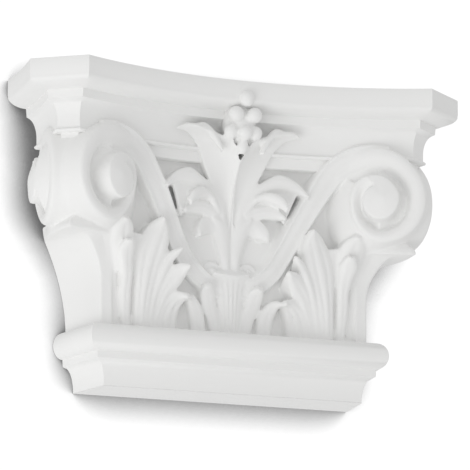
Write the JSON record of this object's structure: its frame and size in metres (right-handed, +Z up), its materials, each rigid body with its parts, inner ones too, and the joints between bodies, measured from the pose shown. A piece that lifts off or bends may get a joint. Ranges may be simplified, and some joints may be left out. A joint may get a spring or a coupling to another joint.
{
  "type": "corinthian pilaster capital",
  "caption": "Corinthian pilaster capital with a hollow-sided moulded abacus, corner volutes, acanthus leaves, central flower and moulded base; flat back for a wall.",
  "frame": {"origin": "middle of the bounding box in plan, at the height of the underside that stands on the pilaster shaft", "axes": "+Z up, -Y towards the viewer of the carved front, +Y into the wall, +X to the viewer's right"},
  "size_m": [0.355, 0.1018, 0.239],
  "materials": {
    "white_foam_casting": "white factory primer, matte to satin, smooth"
  },
  "bodies": {
    "root": {"capital": "white_foam_casting"}
  },
  "joints": []
}
